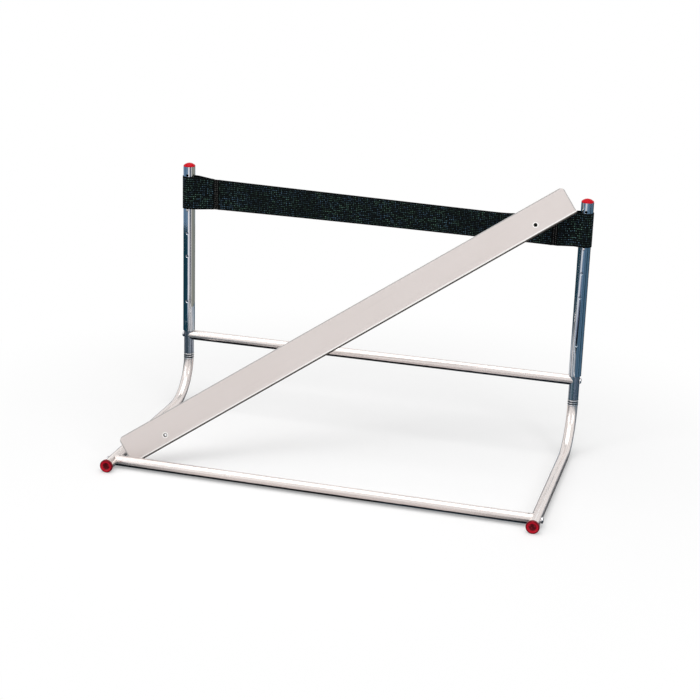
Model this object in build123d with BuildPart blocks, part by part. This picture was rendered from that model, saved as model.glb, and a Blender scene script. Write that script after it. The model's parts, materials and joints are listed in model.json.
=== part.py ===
from build123d import *
import os
from math import asin, atan2, cos, degrees, hypot, radians, sin, tan

# A training hurdle: two bent tube legs, two crossbars, two sliding uprights,
# a stretched elastic band between the uprights, and a loose hurdle board.
# Millimetres. +X runs along the crossbars, the feet point to -Y, +Z is up.
# The origin is on the floor, at the middle of the hurdle's bounding box.

# ---- Driving dimensions -------------------------------------------------

upright_spacing = 1270.0    # between the two upright axes
leg_reach = 690.0           # upright axis to the front face of a foot cap

leg_od = 31.75
leg_wall = 1.65
leg_top = 670.0             # height of the leg tube's open top end
bend_radius = 140.0         # centreline radius of the leg's bend
ripple_count = 3            # bending ripples in the tube wall
ripple_pitch = 7.0
ripple_radius = 1.3         # section radius of one ripple
ripple_bury = 0.3           # a ripple's section centre below the tube's surface

crossbar_od = 31.75
crossbar_wall = 1.65
rear_bar_height = 219.5
front_bar_setback = 58.0    # foot cap face to the front crossbar's axis
cope_gap = 0.15             # between a coped tube end and the leg it meets
vent_radius = 2.5           # vent hole on top of the front crossbar's ends
vent_setback = 5.0          # from the leg tube's surface

upright_od = 38.1
slide_clearance = 0.3       # radial, leg tube in upright tube
upright_top = 784.0
seat_gap = 0.3              # upright's lower end above the rear crossbar

board_bolt_height = 757.0   # bolt hole near the upright's top
board_bolt_radius = 4.2

button_height = 643.0
button_radius = 3.75
button_clearance = 0.25     # radial, button in its holes
button_proud = 3.0          # tip outside the upright tube
button_collar_radius = 6.0
button_collar_thickness = 1.2
button_tip_round = 1.6
hole_sink_depth = 1.0       # countersink of an upright's height holes, 45 degrees
hole_sink_lift = 1.0        # its cutter stands out of the tube by this
height_step = 76.2          # between two hurdle heights
height_steps = (0, 1, 2, 4)  # steps that have a hole

spring_thickness = 0.8
spring_width = 8.0
spring_depth = 46.0         # button to the spring's bend
spring_pad = 6.0            # half the flat behind the button
spring_bend_radius = 3.0

bolt_radius = 4.0
bolt_hole_clearance = 0.25
bolt_length = 58.0
bolt_head_radius = 9.0
bolt_head_height = 5.0
bolt_head_round = 3.0
bolt_socket_radius = 2.9
bolt_socket_depth = 2.2

insert_length = 30.0
insert_setback = 10.0       # from the leg tube's surface
insert_clearance = 0.1      # radial, insert in crossbar
thread_clearance = 0.1      # radial, bolt in insert

foot_cap_od = 39.0
foot_cap_thickness = 10.0
foot_cap_round = 2.5
foot_recess_radius = 14.5
foot_recess_depth = 5.0

top_cap_flange = 2.5
top_cap_dome = 8.0
top_cap_inset = 0.3         # flange edge inside the upright's outer surface

stem_clearance = 0.1        # radial, stem ribs in a tube
stem_rib_height = 1.4
stem_rib_width = 2.0
stem_rib_count = 4
foot_stem_length = 28.0
top_stem_length = 19.0

band_thickness = 2.0
band_gap = 0.3              # between the band's loops and the uprights
band_top = 752.0            # at the uprights
band_height = 104.5         # at the uprights
band_sleeve_flat = 30.0     # upright axis to where the band starts to narrow
band_seam_setback = 86.0    # upright axis to the seam
band_seam_thickness = 4.4   # two layers sewn together
band_left_drop = 4.4        # top edge below band_top, at the left seam
band_left_rise = 2.7        # lower edge above the uprights' lower edge, at the left seam
band_middle_rise = 0.8      # and at the middle
band_waist_x = 390.0        # where the top edge is lowest, behind the board
band_waist_drop = 25.5
band_waist_bend = 1000.0    # radius of the top edge there
band_right_drop = 13.5      # at the right seam
band_right_sag = 6.4

board_length = 1524.0
board_width = 90.0
board_thickness = 19.0
board_hole_height = 30.0    # bolt holes above the board's lower edge
board_corner_radius = 14.0
board_edge_round = 2.0
board_foot_inset = 57.0     # left upright axis to the board's lower front corner
board_catch = 1.0           # board's upper corner below the band's top edge
board_roll = 7.5            # degrees that its face leans back about its length
board_gap = 0.4             # between the board and what it leans on
board_settling = 20         # rounds of working out where it comes to rest

# ---- Places worked out from them ----------------------------------------

leg_radius = leg_od / 2
leg_bore = leg_radius - leg_wall
crossbar_radius = crossbar_od / 2
crossbar_bore = crossbar_radius - crossbar_wall
upright_radius = upright_od / 2
upright_bore = leg_radius + slide_clearance
hole_radius = button_radius + button_clearance
band_loop_inner = upright_radius + band_gap
band_loop_outer = band_loop_inner + band_thickness

overall_depth = leg_reach + band_loop_outer
upright_y = overall_depth / 2 - band_loop_outer
front_bar_y = upright_y - leg_reach + front_bar_setback

leg_run = leg_reach - bend_radius - foot_cap_thickness
leg_slope = degrees(asin((foot_cap_od - leg_od) / 2 / leg_run))
bend_top = leg_radius + bend_radius
front_bar_run = leg_reach - front_bar_setback - bend_radius
front_bar_height = leg_radius + front_bar_run * tan(radians(leg_slope))
upright_bottom = rear_bar_height + crossbar_radius + seat_gap

# The band's front face leans back from the upright to the seam by this angle.
seam_distance = hypot(band_seam_setback, band_seam_thickness / 2)
band_lean = degrees(
    asin(band_loop_outer / seam_distance)
    - atan2(band_seam_thickness / 2, band_seam_setback)
)

SIDES = (("left", -1), ("right", 1))


def write(part, label):
    part.label = label
    export_step(part, f"parts/{label}.step")


# ---- Legs ---------------------------------------------------------------


def leg_plane(side):
    """The upright plane through one leg: local X is forward, local Y is up."""
    return Plane(
        origin=(side * upright_spacing / 2, upright_y, 0),
        x_dir=(0, -1, 0),
        z_dir=(-1, 0, 0),
    )


def leg_line(side):
    """The leg's centreline, from its top end down, round the bend and forward."""
    with BuildLine(leg_plane(side)) as centreline:
        drop = Line((0, leg_top), (0, bend_top))
        bend = CenterArc((bend_radius, bend_top), bend_radius, 180, 90 + leg_slope)
        PolarLine(bend @ 1, leg_run, leg_slope)
    return centreline.wires()[0], bend


def leg_solid(side, radius):
    """A solid rod along the leg's centreline."""
    wire, _ = leg_line(side)
    with BuildPart() as rod:
        with BuildSketch(Plane(origin=wire @ 0, z_dir=wire % 0)):
            Circle(radius)
        sweep(path=wire)
    return rod.part


def ripple_planes(bend):
    """Planes across the tube where the bend starts, one for each ripple."""
    turn = bend.length
    spots = [step * ripple_pitch / turn for step in range(ripple_count)]
    return [Plane(origin=bend @ spot, z_dir=bend % spot) for spot in spots]


def bolt_spots(side):
    """Where a leg's two crossbar bolts cross its axis."""
    x = side * upright_spacing / 2
    return {
        "front": (x, front_bar_y, front_bar_height),
        "rear": (x, upright_y, rear_bar_height),
    }


def build_leg_tube(name, side):
    wire, bend = leg_line(side)
    with BuildPart() as leg_tube:
        with BuildSketch(Plane(origin=wire @ 0, z_dir=wire % 0)):
            Circle(leg_radius)
        sweep(path=wire)
        for plane in ripple_planes(bend):
            with Locations(plane):
                Torus(leg_radius - ripple_bury, ripple_radius)
        add(leg_solid(side, leg_bore), mode=Mode.SUBTRACT)
        for spot in bolt_spots(side).values():
            with Locations(Location(spot, (0, 90, 0))):
                Cylinder(
                    bolt_radius + bolt_hole_clearance,
                    leg_od + 2 * ripple_radius,
                    mode=Mode.SUBTRACT,
                )
        with BuildSketch(leg_front_plane(side)):
            Circle(hole_radius)
        extrude(amount=upright_od, mode=Mode.SUBTRACT)
    write(leg_tube.part, f"{name}_leg_tube")


def leg_front_plane(side, height=button_height):
    """A plane on the upright's axis that faces forward, at a height."""
    return Plane(
        origin=(side * upright_spacing / 2, upright_y, height),
        x_dir=(1, 0, 0),
        z_dir=(0, -1, 0),
    )


# ---- Crossbars, and what fastens them -----------------------------------


def build_crossbar(name, y, height, vented):
    """A tube from leg to leg, with both ends coped to the legs."""
    with BuildPart() as crossbar:
        with BuildSketch(Plane.YZ.offset(-upright_spacing / 2)):
            with Locations((y, height)):
                Circle(crossbar_radius)
                Circle(crossbar_bore, mode=Mode.SUBTRACT)
        extrude(amount=upright_spacing)
        for _, side in SIDES:
            add(leg_solid(side, leg_radius + cope_gap), mode=Mode.SUBTRACT)
        if vented:
            vent_x = upright_spacing / 2 - leg_radius - vent_setback
            with BuildSketch(Plane.XY.offset(height)):
                with Locations((-vent_x, y), (vent_x, y)):
                    Circle(vent_radius)
            extrude(amount=crossbar_od, mode=Mode.SUBTRACT)
    write(crossbar.part.solids().sort_by(SortBy.VOLUME)[-1], f"{name}_crossbar")


def inward_plane(spot, side, distance):
    """A plane across a crossbar, facing inward, at a distance from the leg's axis."""
    return Plane(
        origin=(spot[0] - side * distance, spot[1], spot[2]),
        x_dir=(0, 1, 0),
        z_dir=(-side, 0, 0),
    )


def build_insert(name, spot, side):
    """The threaded plug that is pressed into a crossbar's end."""
    with BuildPart() as insert:
        with BuildSketch(inward_plane(spot, side, leg_radius + insert_setback)):
            Circle(crossbar_bore - insert_clearance)
            Circle(bolt_radius + thread_clearance, mode=Mode.SUBTRACT)
        extrude(amount=insert_length)
    write(insert.part, f"{name}_insert")


def build_bolt(name, spot, side):
    """A button-head bolt through the leg and into the crossbar's insert."""
    head_seat = inward_plane(spot, side, -leg_radius)
    with BuildPart() as bolt:
        with BuildSketch(head_seat):
            Circle(bolt_radius)
        extrude(amount=bolt_length)
        with BuildSketch(head_seat):
            Circle(bolt_head_radius)
        extrude(amount=-bolt_head_height)
        outer_face = bolt.faces().sort_by(Axis.X)[0 if side < 0 else -1]
        fillet(outer_face.edges(), bolt_head_round)
        with BuildSketch(head_seat.offset(-bolt_head_height)):
            RegularPolygon(bolt_socket_radius, 6)
        extrude(amount=bolt_socket_depth, mode=Mode.SUBTRACT)
    write(bolt.part, f"{name}_bolt")


# ---- Caps ---------------------------------------------------------------


def rib_spots(stem_length):
    """Distances of a stem's ribs below its flange."""
    pitch = stem_length / stem_rib_count
    return [pitch * index + pitch / 2 for index in range(stem_rib_count)]


def build_foot_cap(name, side):
    """A plug for the leg's front end, with a dished face."""
    wire, _ = leg_line(side)
    end = Plane(origin=wire @ 1, z_dir=wire % 1)
    dish = (foot_recess_radius**2 + foot_recess_depth**2) / (2 * foot_recess_depth)
    rib_radius = leg_bore - stem_clearance
    with BuildPart() as foot_cap:
        with BuildSketch(end):
            Circle(foot_cap_od / 2)
        extrude(amount=foot_cap_thickness)
        fillet(foot_cap.edges().filter_by(GeomType.CIRCLE), foot_cap_round)
        with Locations(end.offset(foot_cap_thickness - foot_recess_depth + dish)):
            Sphere(dish, mode=Mode.SUBTRACT)
        with BuildSketch(end):
            Circle(rib_radius - stem_rib_height)
        extrude(amount=-foot_stem_length)
        for depth in rib_spots(foot_stem_length):
            with BuildSketch(end.offset(-depth)):
                Circle(rib_radius)
            extrude(amount=stem_rib_width / 2, both=True)
    write(foot_cap.part, f"{name}_foot_cap")


def build_top_cap(name, side):
    """A domed plug for the upright's top end."""
    flange_radius = upright_radius - top_cap_inset
    dome = (flange_radius**2 + top_cap_dome**2) / (2 * top_cap_dome)
    end = Plane(origin=(side * upright_spacing / 2, upright_y, upright_top))
    rib_radius = upright_bore - stem_clearance
    with BuildPart() as top_cap:
        with BuildSketch(end):
            Circle(flange_radius)
        extrude(amount=top_cap_flange + top_cap_dome)
        with Locations(end.offset(top_cap_flange + top_cap_dome - dome)):
            Sphere(dome, mode=Mode.INTERSECT)
        with BuildSketch(end):
            Circle(rib_radius - stem_rib_height)
        extrude(amount=-top_stem_length)
        for depth in rib_spots(top_stem_length):
            with BuildSketch(end.offset(-depth)):
                Circle(rib_radius)
            extrude(amount=stem_rib_width / 2, both=True)
    write(top_cap.part, f"{name}_top_cap")


# ---- Uprights and their snap buttons ------------------------------------


def build_upright_tube(name, side):
    """The outer tube that slides up the leg, with its row of height holes."""
    foot = Plane(origin=(side * upright_spacing / 2, upright_y, upright_bottom))
    with BuildPart() as upright_tube:
        with BuildSketch(foot):
            Circle(upright_radius)
            Circle(upright_bore, mode=Mode.SUBTRACT)
        extrude(amount=upright_top - upright_bottom)
        for step in height_steps:
            height = button_height - step * height_step
            with BuildSketch(leg_front_plane(side, height)):
                Circle(hole_radius)
            extrude(amount=upright_od, mode=Mode.SUBTRACT)
            sink = leg_front_plane(side, height).offset(upright_radius - hole_sink_depth)
            sink_height = hole_sink_depth + hole_sink_lift
            with Locations(sink.offset(sink_height / 2)):
                Cone(
                    hole_radius,
                    hole_radius + sink_height,
                    sink_height,
                    mode=Mode.SUBTRACT,
                )
        with BuildSketch(leg_front_plane(side, board_bolt_height)):
            Circle(board_bolt_radius)
        extrude(amount=upright_od, both=True, mode=Mode.SUBTRACT)
    write(upright_tube.part, f"{name}_upright_tube")


def collar_face():
    """Distance of the button collar's front face from the leg's axis."""
    return (leg_bore**2 - button_collar_radius**2) ** 0.5 - button_clearance


def build_snap_button(name, side):
    """The button that locks an upright at a height, with its collar inside the leg."""
    collar = leg_front_plane(side).offset(collar_face() - button_collar_thickness)
    with BuildPart() as snap_button:
        with BuildSketch(collar):
            Circle(button_collar_radius)
        extrude(amount=button_collar_thickness)
        tip = upright_radius + button_proud
        with BuildSketch(leg_front_plane(side).offset(collar_face())):
            Circle(button_radius)
        extrude(amount=tip - collar_face())
        fillet(snap_button.faces().sort_by(Axis.Y)[0].edges(), button_tip_round)
    write(snap_button.part, f"{name}_snap_button")


def build_button_spring(name, side):
    """The bent strip inside the leg that pushes the button out."""
    side_plane = Plane(
        origin=(side * upright_spacing / 2, upright_y, button_height),
        x_dir=(0, 1, 0),
        z_dir=(1, 0, 0),
    )
    half_strip = spring_thickness / 2
    front = -(collar_face() - button_collar_thickness - button_clearance - half_strip)
    wall_room = (leg_bore**2 - (spring_width / 2) ** 2) ** 0.5
    back = wall_room - slide_clearance - half_strip
    with BuildPart() as button_spring:
        with BuildSketch(side_plane):
            with BuildLine():
                FilletPolyline(
                    (front, spring_pad),
                    (front, -spring_pad),
                    (-spring_bend_radius, -spring_depth),
                    (spring_bend_radius, -spring_depth),
                    (back, -spring_pad),
                    (back, spring_pad),
                    radius=spring_bend_radius,
                )
            trace(line_width=spring_thickness)
        extrude(amount=spring_width / 2, both=True)
    write(button_spring.part, f"{name}_button_spring")


# ---- Elastic band -------------------------------------------------------


def loop_outline(radius, half_seam, direction):
    """One end of the band seen from above: round the upright, then in to the seam."""
    axis_x = direction * upright_spacing / 2
    seam_x = axis_x - direction * band_seam_setback
    reach = hypot(band_seam_setback, half_seam)
    turn = asin(radius / reach) - atan2(half_seam, band_seam_setback)
    touch_x = axis_x - direction * radius * sin(turn)
    touch_y = radius * cos(turn)
    far = (axis_x + direction * radius, upright_y)
    upper = (touch_x, upright_y + touch_y)
    lower = (touch_x, upright_y - touch_y)
    ThreePointArc(lower, far, upper)
    Line(upper, (seam_x, upright_y + half_seam))
    Line(lower, (seam_x, upright_y - half_seam))
    return seam_x


def band_outline():
    """The stretched band seen from the front; the board's weight drags its right half."""
    seam_x = upright_spacing / 2 - band_seam_setback
    flat_x = upright_spacing / 2 - band_sleeve_flat
    end_x = upright_spacing / 2 + band_loop_outer + band_gap
    low = band_top - band_height
    left_low = (-seam_x, low + band_left_rise)
    left_high = (-seam_x, band_top - band_left_drop)
    right_low = (seam_x, low - band_right_sag)
    right_high = (seam_x, band_top - band_right_drop)
    waist = (band_waist_x, band_top - band_waist_drop)
    Polyline(
        left_low,
        (-flat_x, low),
        (-end_x, low),
        (-end_x, band_top),
        (-flat_x, band_top),
        left_high,
    )
    FilletPolyline(left_high, waist, right_high, radius=band_waist_bend)
    Polyline(
        right_high,
        (flat_x, band_top),
        (end_x, band_top),
        (end_x, low),
        (flat_x, low),
        right_low,
    )
    ThreePointArc(right_low, (0, low + band_middle_rise), left_low)


def build_elastic_band():
    """A loop of wide webbing round both uprights, sewn flat between its seams."""
    half_seam = band_seam_thickness / 2
    seam_x = upright_spacing / 2 - band_seam_setback
    lowest = band_top - band_height - band_right_sag
    with BuildPart() as elastic_band:
        with BuildSketch(Plane.XY.offset(lowest)):
            with BuildLine():
                for _, side in SIDES:
                    loop_outline(band_loop_outer, half_seam, side)
                for edge in (-half_seam, half_seam):
                    Line((-seam_x, upright_y + edge), (seam_x, upright_y + edge))
            make_face()
            for _, side in SIDES:
                with BuildLine():
                    loop_outline(band_loop_inner, 0, side)
                make_face(mode=Mode.SUBTRACT)
        extrude(amount=band_top - lowest)
        with BuildSketch(Plane.XZ.offset(-upright_y - band_loop_outer)):
            with BuildLine():
                band_outline()
            make_face()
        extrude(amount=2 * band_loop_outer, mode=Mode.INTERSECT)
    write(elastic_band.part, "elastic_band")


# ---- Hurdle board -------------------------------------------------------


def board_turn(swing, tilt):
    """The board's axes: leant back, swung forward in plan, then tilted up."""
    tilted = Location((0, 0, 0), (0, -tilt, 0))
    swung = Location((0, 0, 0), (0, 0, swing))
    rolled = Location((0, 0, 0), (-board_roll, 0, 0))
    return Plane(tilted * swung * rolled)


def relief(directions, facing):
    """How far the rounding holds an edge or a corner of the board back from a sharp one."""
    shares = [abs(direction.dot(facing)) for direction in directions]
    return board_edge_round * (sum(shares) - hypot(*shares))


def board_plane():
    """Where the loose board leans: local X along it, local Z across its width.

    Its lower end stands on the floor behind the front crossbar. Its upper end
    leans on the band's top edge beside the right upright. Each round takes the
    last round's turn and works out the next one.
    """
    lean = radians(band_lean)
    band_facing = Vector(-sin(lean), -cos(lean), 0)
    foot_x = -upright_spacing / 2 + board_foot_inset
    depth = board_thickness * cos(radians(board_roll))
    swing = 0.0
    tilt = 0.0
    for _ in range(board_settling):
        axes = board_turn(swing, tilt)
        end_edge = (axes.x_dir, axes.y_dir)
        thickness = axes.y_dir * board_thickness
        back_z = board_gap - relief((*end_edge, axes.z_dir), Vector(0, 0, -1))
        foot_z = back_z - thickness.Z
        bar_facing = Vector(0, -axes.z_dir.Z, axes.z_dir.Y).normalized()
        clear = crossbar_radius + board_gap - relief(end_edge, bar_facing)
        clear += (foot_z - front_bar_height) * bar_facing.Z
        foot_y = front_bar_y - clear / bar_facing.Y
        along = board_length * cos(radians(swing))
        head_x = foot_x + thickness.X + along * cos(radians(tilt))
        from_seam = band_seam_setback - (upright_spacing / 2 - head_x)
        head_y = upright_y - band_seam_thickness / 2 - from_seam * tan(lean)
        face_rise = board_catch / axes.z_dir.Z * axes.z_dir.dot(band_facing)
        head_y += (relief(end_edge, band_facing) + face_rise - board_gap) / cos(lean)
        slant = asin((head_y - foot_y) / hypot(board_length, depth))
        swing = degrees(slant - atan2(depth, board_length))
        tilt = degrees(asin((band_top - board_catch - back_z) / along))
    axes = board_turn(swing, tilt)
    axes.origin = Vector(foot_x, foot_y, foot_z)
    return axes


def build_board():
    """A plain board with two bolt holes at the uprights' spacing."""
    end_margin = (board_length - upright_spacing) / 2
    lying = board_plane()
    face = Plane(origin=lying.origin, x_dir=lying.x_dir, z_dir=-lying.y_dir)
    with BuildPart() as board:
        with BuildSketch(face):
            with Locations((board_length / 2, board_width / 2)):
                Rectangle(board_length, board_width)
        extrude(amount=-board_thickness)
        through = Axis(lying.origin, lying.y_dir)
        across = Axis(lying.origin, lying.z_dir)
        fillet(board.edges().filter_by(through).sort_by(across)[2:], board_corner_radius)
        lower_corners = board.edges().filter_by(through).sort_by(across)[:2]
        sides = board.faces().filter_by(through)
        fillet(sides.edges() + lower_corners, board_edge_round)
        with BuildSketch(face):
            with Locations(
                (end_margin, board_hole_height),
                (board_length - end_margin, board_hole_height),
            ):
                Circle(board_bolt_radius)
        extrude(amount=-board_thickness, mode=Mode.SUBTRACT)
    write(board.part, "board")


# ---- Build everything ---------------------------------------------------

os.makedirs("parts", exist_ok=True)

for side_name, side_sign in SIDES:
    build_leg_tube(side_name, side_sign)
    build_foot_cap(side_name, side_sign)
    build_upright_tube(side_name, side_sign)
    build_top_cap(side_name, side_sign)
    build_snap_button(side_name, side_sign)
    build_button_spring(side_name, side_sign)
    for bar_name, bolt_spot in bolt_spots(side_sign).items():
        build_insert(f"{bar_name}_{side_name}", bolt_spot, side_sign)
        build_bolt(f"{bar_name}_{side_name}", bolt_spot, side_sign)

build_crossbar("front", front_bar_y, front_bar_height, vented=True)
build_crossbar("rear", upright_y, rear_bar_height, vented=False)
build_elastic_band()
build_board()
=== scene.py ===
"""The looks of a training hurdle: bright tubes, red caps, an elastic band and a board."""

import json
import logging
import math
from dataclasses import dataclass, field
from enum import Enum

import bmesh
import bpy
from mathutils import Matrix, Vector


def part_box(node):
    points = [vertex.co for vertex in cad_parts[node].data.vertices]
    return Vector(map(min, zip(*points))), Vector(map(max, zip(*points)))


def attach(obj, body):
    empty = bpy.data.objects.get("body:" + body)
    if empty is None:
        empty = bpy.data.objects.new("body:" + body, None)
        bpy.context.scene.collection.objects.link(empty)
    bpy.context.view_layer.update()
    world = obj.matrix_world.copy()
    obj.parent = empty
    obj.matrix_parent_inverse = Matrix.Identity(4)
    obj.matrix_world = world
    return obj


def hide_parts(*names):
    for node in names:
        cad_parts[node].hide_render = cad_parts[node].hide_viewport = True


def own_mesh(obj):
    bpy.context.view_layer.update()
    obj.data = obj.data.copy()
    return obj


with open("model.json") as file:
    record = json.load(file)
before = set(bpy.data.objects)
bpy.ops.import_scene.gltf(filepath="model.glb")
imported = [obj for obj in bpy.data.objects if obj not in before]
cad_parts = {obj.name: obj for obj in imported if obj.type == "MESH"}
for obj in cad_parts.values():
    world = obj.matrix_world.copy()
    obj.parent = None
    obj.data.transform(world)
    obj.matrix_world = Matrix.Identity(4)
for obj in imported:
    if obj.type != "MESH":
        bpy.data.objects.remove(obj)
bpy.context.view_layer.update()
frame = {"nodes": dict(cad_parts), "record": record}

MM = 0.001
NOISE_RANGE = (0.3, 0.7)  # most of what a noise texture gives
BROAD_LINES = (0.7, 2.0)  # scale and detail of a noise texture
FINE_LINES = (4.0, 4.0)

log = logging.getLogger("hurdle")

Colour = tuple[float, float, float]
Material = bpy.types.Material
Socket = bpy.types.NodeSocket
Tree = bpy.types.NodeTree
Span = tuple[float, float]


class Side(Enum):
    """Left or right of the hurdle, seen from its feet. The value is the sign of X."""

    LEFT = -1
    RIGHT = 1

    @property
    def word(self) -> str:
        """The side's name as the CAD nodes spell it."""
        return self.name.lower()


class Run(Enum):
    """The way that a drawn tube's marks run, as a scale of its pattern along X, Y and Z."""

    ALONG_X = (2.0, 420.0, 420.0)
    ALONG_Z = (420.0, 420.0, 2.0)
    IN_SIDE_PLANE = (520.0, 2.0, 2.0)


# ---- Node trees -----------------------------------------------------------


class Graph:
    """A node tree that is being built."""

    def __init__(self, tree: Tree) -> None:
        """Takes over an empty tree.

        Args:
            tree: The tree of a material, world, shader group or modifier.
        """
        self.tree = tree
        self.tree.nodes.clear()

    def add(self, kind: str, inputs: dict | None = None, **settings) -> bpy.types.Node:
        """Adds a node.

        Args:
            kind: The node's type name.
            inputs: Socket names or indices, each with a value or an output to link.
            **settings: The node's own properties.

        Returns:
            The new node.
        """
        node = self.tree.nodes.new(kind)
        for key, value in settings.items():
            setattr(node, key, value)
        self.feed(node, inputs or {})
        return node

    def feed(self, node: bpy.types.Node, inputs: dict) -> None:
        """Gives inputs plain values, or links outputs to them.

        Args:
            node: The node whose inputs are fed.
            inputs: Socket names or indices, each with a value or an output to link.
        """
        for key, value in inputs.items():
            socket = node.inputs[key]
            if isinstance(value, Socket):
                self.tree.links.new(value, socket)
            elif socket.type == "RGBA":
                socket.default_value = (*value, 1.0)
            else:
                socket.default_value = value

    def math(self, operation: str, *values) -> Socket:
        """The result of a Math node on one to three values or outputs."""
        node = self.add("ShaderNodeMath", dict(enumerate(values)), operation=operation)
        return node.outputs[0]

    def fit(self, value, low, high, to_low=0.0, to_high=1.0) -> Socket:
        """A value's place between low and high, clamped, as a place between two others."""
        names = ("Value", "From Min", "From Max", "To Min", "To Max")
        inputs = dict(zip(names, (value, low, high, to_low, to_high)))
        node = self.add("ShaderNodeMapRange", inputs, interpolation_type="SMOOTHSTEP")
        return node.outputs[0]

    def mix(self, share, first, second) -> Socket:
        """A colour between two colours."""
        node = self.add("ShaderNodeMix", data_type="RGBA")
        factor, start, end = (i for i, socket in enumerate(node.inputs) if socket.enabled)
        self.feed(node, {factor: share, start: first, end: second})
        return next(socket for socket in node.outputs if socket.enabled)

    def tint(self, base, other, mask, share: float) -> Socket:
        """A colour that turns by a share towards another where a mask is full."""
        return self.mix(self.math("MULTIPLY", mask, share), base, other)

    def raised(self, value, *layers: tuple) -> Socket:
        """A value with masks added to it, each in its own amount.

        Args:
            value: The value or output to start from.
            *layers: Each mask with its amount.

        Returns:
            The output that holds the sum.
        """
        for mask, amount in layers:
            value = self.math("ADD", value, self.math("MULTIPLY", mask, amount))
        return value

    def apart(self, first, second) -> Socket:
        """How far two values are from each other."""
        return self.math("ABSOLUTE", self.math("SUBTRACT", first, second))

    def hypot(self, first, second) -> Socket:
        """The distance that two offsets at right angles make together."""
        squares = [self.math("MULTIPLY", offset, offset) for offset in (first, second)]
        return self.math("SQRT", self.math("ADD", *squares))

    def place(self) -> Socket:
        """The place on the object."""
        return self.add("ShaderNodeTexCoord").outputs["Object"]

    def axes(self, vector) -> bpy.types.bpy_prop_collection:
        """A vector's X, Y and Z."""
        return self.add("ShaderNodeSeparateXYZ", {0: vector}).outputs

    def upward(self) -> Socket:
        """How far the surface faces up: 1 where it does, and -1 where it faces down."""
        return self.axes(self.add("ShaderNodeNewGeometry").outputs["Normal"])["Z"]

    def stretch(self, vector, scale) -> Socket:
        """A vector with each of its axes multiplied by a scale of its own."""
        inputs = {0: vector, 1: scale}
        return self.add("ShaderNodeVectorMath", inputs, operation="MULTIPLY").outputs[0]

    def noise(self, place, scale, detail=3.0, roughness=0.5) -> Socket:
        """A noise texture's value at a place."""
        inputs = {"Vector": place, "Scale": scale, "Detail": detail, "Roughness": roughness}
        return self.add("ShaderNodeTexNoise", inputs).outputs["Fac"]

    def bump(self, height, distance: float, strength: float = 1.0) -> Socket:
        """The normal of a surface whose height varies, with the height's range in metres."""
        inputs = {"Height": height, "Distance": distance, "Strength": strength}
        return self.add("ShaderNodeBump", inputs).outputs[0]

    def group(self, effect: Tree, **inputs) -> bpy.types.bpy_prop_collection:
        """The outputs of a shared effect, with its inputs fed."""
        return self.add("ShaderNodeGroup", inputs, node_tree=effect).outputs

    def mask(self, effect: Tree, **inputs) -> Socket:
        """The mask that a shared effect gives."""
        return self.group(effect, **inputs)["Mask"]

    def seen(self) -> Socket:
        """1 for the rays that show a thing, and 0 for those that only carry its light."""
        rays = self.add("ShaderNodeLightPath").outputs
        shown = self.math("MAXIMUM", rays["Is Camera Ray"], rays["Is Glossy Ray"])
        return self.math("MAXIMUM", shown, rays["Is Transmission Ray"])

    def finish_with(self, output: str, share, first, second) -> None:
        """Ends the tree on a mix of two shaders.

        Args:
            output: The output node's type name.
            share: How much of the second shader shows.
            first: The first shader's node.
            second: The second shader's node.
        """
        inputs = {0: share, 1: first.outputs[0], 2: second.outputs[0]}
        mixed = self.add("ShaderNodeMixShader", inputs)
        self.add(output, {"Surface": mixed.outputs[0]})


def new_group(name: str, inputs: dict[str, float | None], outputs: tuple[str, ...]):
    """Starts a shader node group.

    Args:
        name: The group's name.
        inputs: Each input's name with its first number, or None where it takes a vector.
        outputs: The names of its outputs, which are numbers.

    Returns:
        The group's graph, its input node's sockets and its output node.
    """
    tree = bpy.data.node_groups.new(name, "ShaderNodeTree")
    graph = Graph(tree)
    for label, value in inputs.items():
        kind = "NodeSocketVector" if value is None else "NodeSocketFloat"
        socket = tree.interface.new_socket(label, in_out="INPUT", socket_type=kind)
        if value is not None:
            socket.default_value = value
    for label in outputs:
        tree.interface.new_socket(label, in_out="OUTPUT", socket_type="NodeSocketFloat")
    return graph, graph.add("NodeGroupInput").outputs, graph.add("NodeGroupOutput")


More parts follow.
